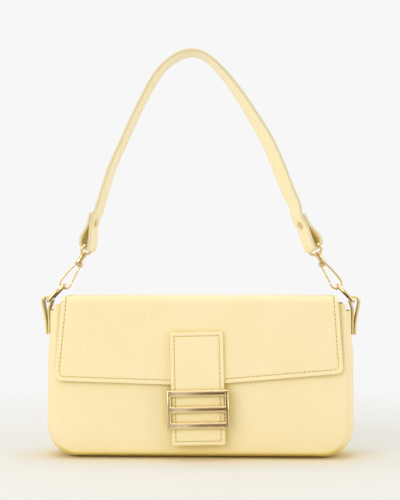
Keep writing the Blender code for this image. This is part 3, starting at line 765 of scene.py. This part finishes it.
def softened(corners, radii):
    """An open polyline with an arc in place of each inner corner that has a radius."""
    found = [corners[:1]]
    for before, corner, after, radius in zip(corners, corners[1:], corners[2:], radii[1:]):
        found.append(corner_arc(before, corner, after, radius) if radius else [corner])
    return np.concatenate([*found, corners[-1:]])


def split_at(line, points):
    """Cuts a polyline at its points nearest to the given ones."""
    cuts = [int(np.argmin(np.linalg.norm(line - p, axis=1))) for p in points]
    return [line[a : b + 1] for a, b in zip([0, *cuts], [*cuts, len(line) - 1])]


def flap_corners():
    """The flap's edge, unrolled, from the join on the left round the foot to the right."""
    drop = flap_foot_half * sin(flap_skew)
    shift = flap_side_drop * sin(flap_skew) - flap_drift
    foot = section_front + flap_side_drop
    left, right = -flap_foot_half + shift, flap_foot_half + shift
    corners = [(-flap_top_half, -section_middle), (-flap_top_half, -section_front)]
    corners += [(left, -foot - drop), (tab_shift, -foot - flap_point_drop), (right, -foot + drop)]
    corners += [(flap_top_half, -section_front), (flap_top_half, -section_middle)]
    return np.array(corners)


def hem_corners():
    """The hem's edge at the back, unrolled, from the join on the right round to the left."""
    foot = section_run[1] - hem_drop
    half, join = flap_top_half, section_middle
    return np.array([(half, -join), (half, -foot), (-half, -foot), (-half, -join)])


def ripple(flat):
    """A slight unevenness of hand-laid leather."""
    x, y = flat[..., 0] / mm, flat[..., 1] / mm
    soft = np.sin(x / 23 + 1.1) * np.sin(y / 31 + 0.4) + 0.6 * np.sin(x / 11 - y / 17)
    return flap_ripple * soft


def flap_grid(corners, radii, cuts, zone, steps, seam=0.0):
    """A grid over a part of the unrolled flap, and its edge. A seamed part goes on at its top."""
    edge = softened(corners, radii)
    left, foot, right = split_at(edge, cuts)
    across = graded(foot, zone, steps[0], seam)
    up = graded(left, zone, steps[1], seam)
    if seam:
        up = np.append(up[up < 1 - (zone + 0.1 * mm) / length_of(left)], 1.0)
    top = np.array([left[0], right[-1]])
    return patch(foot, top, left[::-1], right, across, up), edge


def flap_piece(name, corners, radii, seam, cuts):
    """A part of the flap's leather, from the join at the fold to its foot."""
    flat, edge = flap_grid(corners, radii, cuts, flap_edge, flap_steps, stitch_inset)
    rise = ripple(flat) - rolled(distance_to(flat, edge), *flap_roll) - groove(flat, seam)
    inner = flap_point(flat, -flap_leather + 0.05 * mm)
    return closed_sheet(name, flap_point(flat, rise), inner, leather_creased)


def add_tubes(name, tubes, material):
    """One mesh of closed tubes, each a grid of 3D points with a ring in each row."""
    count = tubes[0][..., 0].size
    faces = [face for k in range(len(tubes)) for face in tube_faces(k * count, *tubes[k].shape[:2])]
    return add_mesh(name, np.reshape(tubes, (-1, 3)), faces, [material])


def stitches(name, line, lift, closed=False):
    """Thread stitches along a flat line, and discs of painted shade at its needle holes.

    lift turns flat points and a rise to 3D. A closed line has no needle hole of its own at its end.
    """
    total = length_of(line)
    count = round(total / stitch_pitch)
    length = total / count * stitch_length / stitch_pitch
    along = np.linspace(-0.5, 0.5, len(stitch_heights))
    x, y = circle(8)
    radii = (stitch_girths * stitch_radius)[:, None]
    aside = (along * 2 * stitch_slant)[:, None] + x * radii
    rise = (stitch_heights - groove_depth)[:, None] + y * radii
    tubes = []
    for middle in (np.arange(count) + 0.5) / count:
        centre = resampled(line, np.clip(middle + along * length / total, 0, 1))
        ahead = centre[-1] - centre[0]
        side = unit(np.array([-ahead[1], ahead[0]]))
        tubes.append(lift(centre[:, None] + aside[..., None] * side, rise))
    threads = add_tubes(name, tubes, thread)

    # Dark discs of painted shade, one at each needle hole
    ring = np.stack(circle(10), 1)
    radii, heights = np.array(hole_rings).T[..., None]
    rings = ring * radii[..., None] * hole_radius
    rise = np.repeat(heights - groove_depth, len(ring), 1)
    centres = resampled(line, np.arange(count if closed else count + 1) / count)
    tubes = [lift(centre + rings, rise) for centre in centres]
    return threads, add_tubes(name + "_painted_shade_discs", tubes, painted_shade_at_holes)


def make_flap():
    def lift(flat, rise):
        return flap_point(flat, rise + ripple(flat))

    def seamed(side, corners, radii, cuts):
        """The leather with its stitches and the painted shade at its needle holes."""
        seam_radii = [radius and radius - seam_corner_drop for radius in radii]
        seam = softened(inset_line(corners, stitch_inset), seam_radii)
        piece = flap_piece("flap_leather_" + side, corners, radii, seam, cuts)
        pieces = (piece, *stitches("flap_stitches_" + side, seam, lift))
        return pieces

    corners = flap_corners()
    radii = [0, 0, flap_corner, 0, flap_corner, 0, 0]
    front = seamed("front", corners, radii, (corners[2], corners[4]))
    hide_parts("flap_top", "flap_front")
    for piece in front:
        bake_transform(piece)

    corners = hem_corners()
    radii = [0, flap_corner, flap_corner, 0]
    back = seamed("back", corners, radii, (corners[1], corners[2]))
    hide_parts("flap_hem")
    for piece in back:
        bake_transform(piece)


def make_tab():
    """The stitched leather strip that the buckle sits on."""
    half = tab_width / 2
    tall = tab_length / 2
    corners = np.array([(-half, tall), (-half, -tall), (half, -tall), (half, tall)])
    arcs = [
        corner_arc(corners[k - 1], corners[k], corners[(k + 1) % 4], tab_corner) for k in range(4)
    ]
    bottom, right, top, left = (joined_halves(arcs[k - 3], arcs[k - 2]) for k in range(4))
    across = graded(bottom, tab_step, tab_step, tab_inset)
    up = graded(left, tab_step, tab_step, tab_inset)
    flat = patch(bottom, top[::-1], left[::-1], right, across, up)
    seam = (corners - np.sign(corners) * tab_inset)[[0, 1, 2, 3, 0]]
    skewed = Matrix.Translation((tab_shift, tab_middle, 0)) @ Matrix.Rotation(tab_skew, 4, "Z")
    place = plane_matrix(-1) @ skewed
    high = tab_low + tab_thickness
    distance = distance_to(flat, np.concatenate((bottom, right, top, left)))
    outer = placed(place, flat, high - rolled(distance, *tab_roll) - groove(flat, seam))
    inner = placed(place, flat, tab_low + rolled(distance, *tab_back_roll))
    tab = closed_sheet("tab_leather", outer, inner, leather_plain)
    dress(tab, "flap_front", "leather", "clasp_tab")

    def lift(points, heights):
        return placed(place, points, high + heights)

    for row in stitches("tab_stitches", seam, lift, closed=True):
        dress(row, "flap_front", "leather")


# Linings


def make_linings():
    half = panel_half - gusset_thickness - gap - crown - 2 * gap
    low = lining_low + crown
    top = panel_height - lining_drop
    outline = (half, low, top, panel_corner)
    levels = (-lining_face - lining_thickness, -lining_face)
    for side, side_name in ((-1, "front"), (1, "back")):
        name = "lining_" + side_name
        piece = panel_piece(name + "_cloth", side, outline, levels, lining_roll, 0.0, lining_cloth)
        dress(piece, "bag_body", "lining", name)


def make_gusset_lining():
    half = gusset_half - gusset_thickness - gap
    low = crown + lining_low
    top = gusset_height - lining_drop
    face = lining_face + lining_thickness + gap
    outline = (half, low, top, gusset_corner)
    piece = strip_piece("lining_gusset_cloth", outline, face, lining_thickness, 0.0, lining_cloth)
    dress(piece, "bag_body", "lining", "lining_gusset")
    wide, narrow = (2 * half_depth(level, face) + crown for level in (low, top))


def make_pocket():
    """The slip pocket: sewn down at its sides and foot, and standing a little open at its top."""
    u, v = np.meshgrid(np.linspace(-1, 1, 49), np.linspace(0, 1, 28))
    wide, tall = 2 * pocket_half, pocket_high - pocket_low
    flat = np.stack((u * pocket_half, pocket_low + v * tall), -1)
    swell = (1 - np.abs(u) ** 6) ** 0.5 * (1 - (1 - v) ** 5) ** 0.6
    swell = swell * (0.82 + 0.18 * v) * pocket_room
    face = -lining_face - lining_thickness - gap
    place = plane_matrix(1)
    hidden = placed(place, flat, face - swell)
    shown = placed(place, flat, face - swell - pocket_wall)
    pocket = closed_sheet("slip_pocket_cloth", hidden, shown, lining_cloth)
    dress(pocket, "bag_body", "lining", "slip_pocket")
    end, height = pocket_half - pocket_hem[0], pocket_high - pocket_hem[1]
    surface = face - pocket_room * 0.985 - pocket_wall - 2 * groove_depth

    def lift(points, heights):
        return placed(place, points, surface - heights)

    for row in stitches("pocket_stitches", np.array([(-end, height), (end, height)]), lift):
        dress(row, "bag_body", "lining")


def make_flap_lining():
    corners = flap_corners()[1:-1]
    corners[[0, -1], 1] -= 0.6 * mm
    corners = inset_line(corners, flap_lining_margin)
    radius = flap_corner - flap_lining_margin
    radii = [0, radius, 0, radius, 0]
    cuts = (corners[1], corners[3])
    flat, edge = flap_grid(corners, radii, cuts, 1 * mm, flap_lining_steps)
    high = -flap_leather - gap
    roll = rolled(distance_to(flat, edge), *flap_lining_roll)
    inner = flap_point(flat, high - lining_thickness + roll)
    lining = closed_sheet("flap_lining_cloth", flap_point(flat, high), inner, lining_cloth)
    dress(lining, "flap_front", "lining", "flap_lining")


# Strips of leather: the strap and the ring tabs


def smooth_line(points, steps):
    """Evenly spaced points on a smooth curve through the given 3D points."""
    points = np.asarray(points, float)
    before, beyond = 2 * points[0] - points[1], 2 * points[-1] - points[-2]
    ghost = np.concatenate(([before], points, [beyond]))
    dense = []
    for a, b, c, d in zip(ghost, ghost[1:], ghost[2:], ghost[3:]):
        for t in np.arange(12) / 12:
            square = (2 * a - 5 * b + 4 * c - d) * t**2
            cube = (3 * b - a - 3 * c + d) * t**3
            dense.append((2 * b + (c - a) * t + square + cube) / 2)
    dense.append(points[-1])
    return resampled(np.array(dense), np.linspace(0, 1, steps + 1))


def ribbon_profile(width, thickness, crease):
    """A strip's section, creased beside each edge, and which of its points are painted."""
    half, t = width / 2, thickness / 2
    one_side = [
        (half - paint_width, t),
        (half - crease_start, t),
        (half - crease_line, t - crease),
        (half - crease_end, t),
        (half * 0.5, t + 0.05 * mm),
        (0, t + 0.07 * mm),
    ]
    top = one_side + [(-w, h) for w, h in reversed(one_side[:-1])]
    near = -half + 0.2 * mm
    edge = [(near, t * 0.8), (-half, t * 0.35), (-half, -t * 0.35), (near, -t * 0.8)]
    ring = top + edge + [(-w, -h) for w, h in top + edge]
    painted = [0] * (len(top) - 1) + [1] * (len(edge) + 1)
    return np.array(ring), painted + painted


def ribbon(name, line, across, width, thickness, crease, paint):
    """A strip along a line, its width along the given directions."""
    ring, painted = ribbon_profile(width, thickness, crease)
    ahead = unit(np.gradient(line, axis=0))
    across = unit(across - (across * ahead).sum(1)[:, None] * ahead)
    normal = np.cross(ahead, across)
    vertices = line[:, None] + across[:, None] * ring[:, :1] + normal[:, None] * ring[:, 1:]
    faces = tube_faces(0, *vertices.shape[:2])
    indices = painted * (len(line) - 1) + [1, 1]
    return add_mesh(name, vertices.reshape(-1, 3), faces, [leather_strap, paint], indices)


joints = {joint["name"]: joint for joint in frame["joints"]}


class StrapEnd:
    """The strap's fold round one swivel eye: its origin and its directions up, out and across."""

    def __init__(self, side_name, side):
        joint = joints["eye_swing_" + side_name]
        self.origin = np.array(joint["pos_m"])
        across = np.array(joint["axis"])
        self.across = across if across[1] > 0 else -across
        turn = strap_lean[side_name]
        up = np.array([-side * sin(turn), 0, cos(turn)])
        self.up = unit(up - up @ self.across * self.across)
        out = np.cross(self.across, self.up)
        self.out = out if out[0] * side > 0 else -out

    def at(self, out, up):
        return self.origin + out * self.out + up * self.up

    def is_past(self, point):
        """Whether a point lies beyond the fold's top."""
        return (point - self.origin) @ self.up > strap_fold * fold_clear_share

    def line(self):
        """From the return leaf's end, down and round the bar, and up to the fold's top."""
        wrap, step = strap_wrap, strap_leaf_step
        flat = strap_fold * leaf_joint_share
        bulge = wrap + strap_bulge
        outer = [self.at(step, strap_fold)]
        outer += [self.at(step + (bulge - step) * out, flat * up) for out, up in leaf_shares]
        outer += [self.at(bulge - strap_bulge * leaf_foot_share, 0)]
        foot = [self.at(wrap * out, wrap * up) for out, up in wrap_shares]
        inner = [self.at(wrap * out, flat * up) for out, up in inner_leaf_shares]
        return outer + foot + inner + [self.at(0, strap_fold)]


def tilt_at(share):
    """The arms of the strap turn their face to the front, most of all near their ends."""
    end = strap_tilt["left"] if share < 0.5 else strap_tilt["right"]
    from_top = sin(pi * abs(share - 0.5))
    turned = sqrt(from_top**2 + strap_tilt_soft**2) - strap_tilt_soft
    return strap_tilt_top + (end - strap_tilt_top) * turned


def relaxed(line):
    """An evenly bent arch: its points drawn to their neighbours' mean, less near its ends."""
    weights = np.hanning(2 * relax_reach + 3)[1:-1]
    weights /= weights.sum()
    padded = np.pad(line, ((relax_reach, relax_reach), (0, 0)), "edge")
    mean = np.stack([np.convolve(column, weights, "valid") for column in padded.T], 1)
    share = np.linspace(0, 1, len(line))
    pull = np.clip(np.minimum(share, 1 - share) / relax_share, 0, 1)[:, None]
    return line + (mean - line) * pull


def make_strap():
    left = StrapEnd("left", -1)
    right = StrapEnd("right", 1)
    half_span = right.origin[0]
    foot = right.origin[2]
    arch = [
        (x * half_span, strap_back_lean * sin(pi * z / 2), foot + z * strap_rise)
        for x, z in arch_shares
    ]
    first = left.line()
    second = right.line()[::-1]
    head = smooth_line(first, 72)
    tail = smooth_line(second, 72)
    middle = smooth_line([*first[-2:], *arch, *second[:2]], 190)
    keep = [
        p
        for p in middle
        if (left.is_past(p) or p[0] > -half_span / 2)
        and (right.is_past(p) or p[0] < half_span / 2)
    ]
    line = np.concatenate((head, relaxed(np.array(keep)), tail))
    across = [left.across] * len(head)
    for i in range(len(keep)):
        share = (i + 1) / (len(keep) + 1)
        tilt = tilt_at(share)
        along = line[len(head) + i + 1] - line[len(head) + i - 1]
        inward = np.array([along[2], 0, -along[0]]) / hypot(along[0], along[2])
        direction = np.array([0, cos(tilt), 0]) + sin(tilt) * inward
        blend = min(1, share / blend_share, (1 - share) / blend_share)
        end = left.across if share < 0.5 else right.across
        across.append(end * (1 - blend) + direction * blend)
    across = np.array(across + [right.across] * len(tail))
    size = (strap_width, strap_thickness, strap_crease)
    strap = ribbon("strap_leather", line, across, *size, edge_paint)
    dress(strap, "strap", "leather", "shoulder_strap")


def make_ring_tabs():
    for side_name, side in (("left", -1), ("right", 1)):
        bar = np.array(joints["dring_swing_" + side_name]["pos_m"])
        bar_x = abs(bar[0])
        inner_x = bar_x - ring_bar_clear + gap + ring_tab_thickness / 2
        outer_x = inner_x + ring_tab_thickness + gap
        foot = gusset_height - ring_tab_length * ring_tab_foot_share
        flat = foot + ring_tab_length * ring_tab_flat_share
        points = [(inner_x, foot), (inner_x, flat), (inner_x + gap, gusset_height + gap)]
        points += [
            (bar_x + ring_loop_reach * out, bar[2] + ring_loop_reach * up)
            for out, up in ring_loop_shares
        ]
        points += [(outer_x + ring_tab_thickness * ring_tab_return_share, flat), (outer_x, foot)]
        line = smooth_line([(side * x, 0, z) for x, z in points], 90)
        across = np.tile((0.0, 1.0, 0.0), (len(line), 1))
        name = "ring_tab_" + side_name
        size = (ring_tab_width, ring_tab_thickness, ring_tab_crease)
        tab = ribbon(name + "_leather", line, across, *size, tab_paint)
        dress(tab, "bag_body", "leather", name)


# Solids that are kept as they are


def smooth_solid(solid):
    """Round metal shades smoothly, and its sharp edges stay sharp. Its form is not touched."""
    weld = solid.modifiers.new("joined_corners", "WELD")
    weld.merge_threshold = weld_reach
    split = solid.modifiers.new("sharp_edges", "EDGE_SPLIT")
    split.split_angle = metal_sharp
    for face in solid.data.polygons:
        face.use_smooth = True


def material_for(node_name):
    if node_name == "buckle_frame":
        return buckle_gold
    if node_name == "base_board":
        return board
    words = ("panel", "gusset", "flap", "tab", "strap")
    if "rivet" not in node_name and any(word in node_name for word in words):
        return leather_plain
    if any(word in node_name for word in ("lining", "pocket")):
        return lining_cloth
    return pale_gold


def finish_solids():
    for node_name, solid in frame["nodes"].items():
        chosen = material_for(node_name)
        solid.data.materials.clear()
        solid.data.materials.append(chosen)
        if chosen in (pale_gold, buckle_gold):
            smooth_solid(solid)


# Floor, light and camera


def background_rays(tree):
    """1 for rays that show the background: those of the camera and of mirror reflections."""
    path = node(tree, "LightPath")
    seen = (path.outputs["Is Camera Ray"], path.outputs["Is Glossy Ray"])
    return worked_out(tree, "MAXIMUM", *seen)


def make_stage():
    """A round of paper with a painted shadow round the bag, which turns, far from the bag, into the
    pale tone seen all round.
    """
    rim = [(x * floor_radius, y * floor_radius, 0.0) for x, y in zip(*circle(96))]
    paper, tree, shader = new_material("backdrop_paper")
    place = coordinates(tree)
    tone = blended(tree, noise(tree, place, 700.0, 3.0), paper_tone, paper_shade)
    # Painted shadow: the warm tint where the paper lies close to the bag
    tone = blended(tree, painted_shade_mask(tree, floor_painted_shade_reach, 0.45, 0.98), paper_painted_shadow, tone)
    feed_all(shader, {"Base Color": tone, "Roughness": 0.85})
    length = node(tree, "VectorMath", operation="LENGTH")
    feed(length.inputs[0], place)
    far = ranged(tree, length.outputs["Value"], floor_near, floor_far)
    factor = worked_out(tree, "MULTIPLY", far, background_rays(tree))
    glow = node(tree, "Emission", Color=(*backdrop_tone, 1), Strength=1.0)
    mix = node(tree, "MixShader")
    sources = (factor, shader.outputs["BSDF"], glow.outputs["Emission"])
    for socket, source in zip(mix.inputs, sources):
        feed(socket, source)
    feed(tree.nodes["Material Output"].inputs["Surface"], mix.outputs["Shader"])
    add_mesh("backdrop", rim, [tuple(range(len(rim)))], [paper])


def lying(left_near, left_far, right_far, right_near):
    """The corners of a card on the table, from X at its near and far ends."""
    near, far = (card_near, card_table), (card_far, card_table)
    return [(left_near, *near), (left_far, *far), (right_far, *far), (right_near, *near)]


def standing(left, right, y, low, high):
    return [(left, y, low), (left, y, high), (right, y, high), (right, y, low)]


def make_cards():
    """What stands behind a studio's camera, dark and dim: seen in polished metal alone."""
    for name, colour, corners in (
        ("dark_table_right", card_dark, lying(-0.020, -0.045, 0.5, 0.26)),
        ("dark_table_left", card_dark, lying(-0.21, -0.45, -0.0765, -0.038)),
        ("dark_card_right", card_dark, standing(-0.045, 0.5, card_far, 0.0, card_top)),
        ("dark_card_left", card_dark, standing(-0.45, -0.0765, card_far, 0.0, card_top)),
        ("dim_card", card_dim, standing(-0.60, 0.70, -1.3, 0.18, 0.80)),
    ):
        made, tree, shader = new_material(name)
        feed_all(shader, {"Base Color": (*colour, 1), "Roughness": 0.9})
        card = add_mesh(name, corners, [(0, 1, 2, 3)], [made])
        card.visible_camera = card.visible_diffuse = card.visible_shadow = False


def add_lamp(name, place, size, power, colour):
    data = bpy.data.lights.new(name, "AREA")
    data.shape = "RECTANGLE"
    data.size, data.size_y = size
    data.energy = power
    data.color = colour
    lamp = add_object(name, data)
    lamp.location = place
    lamp.visible_camera = False
    ahead = Vector(lamp_target) - Vector(place)
    lamp.rotation_euler = ahead.to_track_quat("-Z", "Y").to_euler()


def make_light():
    world = bpy.data.worlds.new("studio")
    bpy.context.scene.world = world
    world.use_nodes = True
    tree = world.node_tree
    seen = background_rays(tree)
    tone = blended(tree, seen, world_warm, backdrop_tone)
    level = ranged(tree, seen, 0, 1, world_level, 1.0)
    feed_all(tree.nodes["Background"], {"Color": tone, "Strength": level})
    add_lamp("key", (-1.4, -1.5, 0.95), (1.3, 1.3), key_power, lamp_tone)
    add_lamp("fill", (1.8, -0.6, 0.6), (1.2, 1.2), fill_power, lamp_tone)
    add_lamp("top", (-0.1, 0.2, 1.8), (1.6, 1.2), top_power, (1, 1, 1))


def make_camera():
    data = bpy.data.cameras.new("camera")
    data.sensor_width = camera_sensor
    data.lens = camera_sensor * camera_distance / (photo_height * camera_pixel)
    data.clip_start = 0.05
    data.clip_end = 20.0
    camera = add_object("camera", data)
    back = Vector((sin(camera_yaw), -cos(camera_yaw), 0))
    camera.location = Vector(camera_aim) + back * camera_distance
    camera.rotation_euler = (-back).to_track_quat("-Z", "Y").to_euler()
    bpy.context.scene.camera = camera


make_body()
make_linings()
make_gusset_lining()
make_pocket()
make_flap()
make_flap_lining()
make_tab()
make_strap()
make_ring_tabs()
finish_solids()
make_stage()
make_cards()
make_light()
make_camera()
bpy.context.scene.view_settings.view_transform = "Standard"
